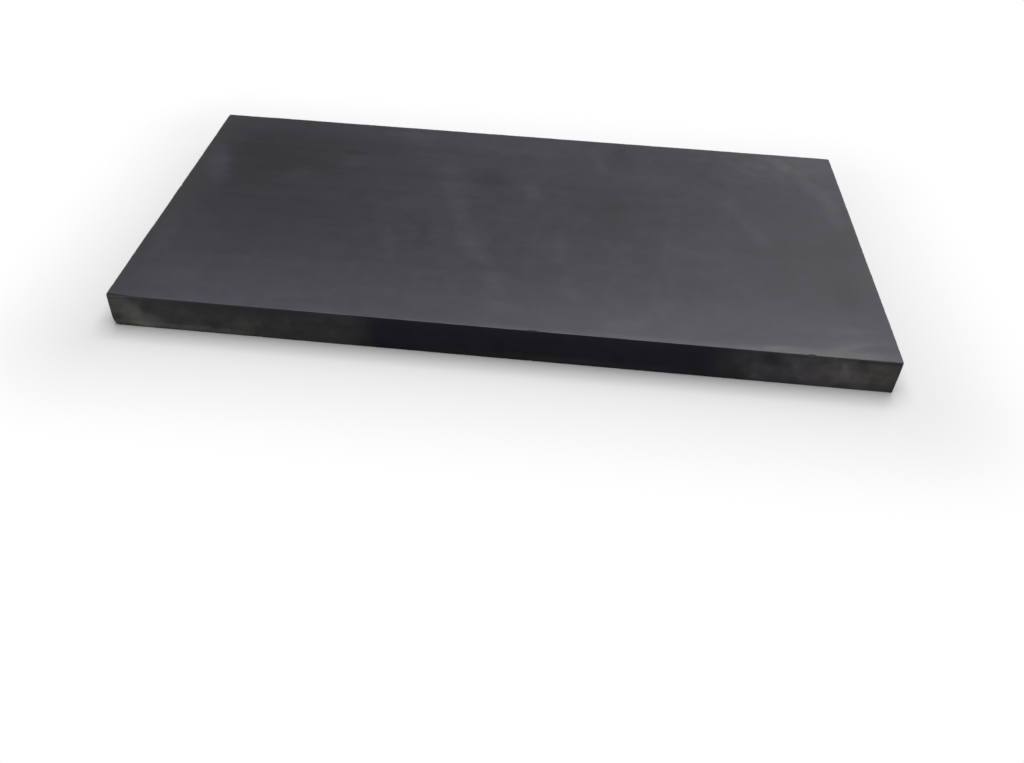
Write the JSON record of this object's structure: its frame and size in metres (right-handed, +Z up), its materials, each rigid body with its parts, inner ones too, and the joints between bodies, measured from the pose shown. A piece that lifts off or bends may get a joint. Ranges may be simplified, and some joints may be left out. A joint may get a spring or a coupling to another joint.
{
  "type": "graphite plate",
  "caption": "Flat rectangular plate of machined graphite stock with sharp, lightly worn edges, used as a blank for moulds, electrodes and furnace parts or as a heat-resistant base.",
  "frame": {"origin": "centre of the underside", "axes": "+X along the long side, +Y from the front long side to the back one, +Z up out of the upper face"},
  "size_m": [0.6, 0.3, 0.03],
  "materials": {
    "graphite": "sawn and ground, dark grey, satin to dull, with dusty handling marks"
  },
  "bodies": {
    "root": {"graphite_plate": "graphite"}
  },
  "joints": []
}
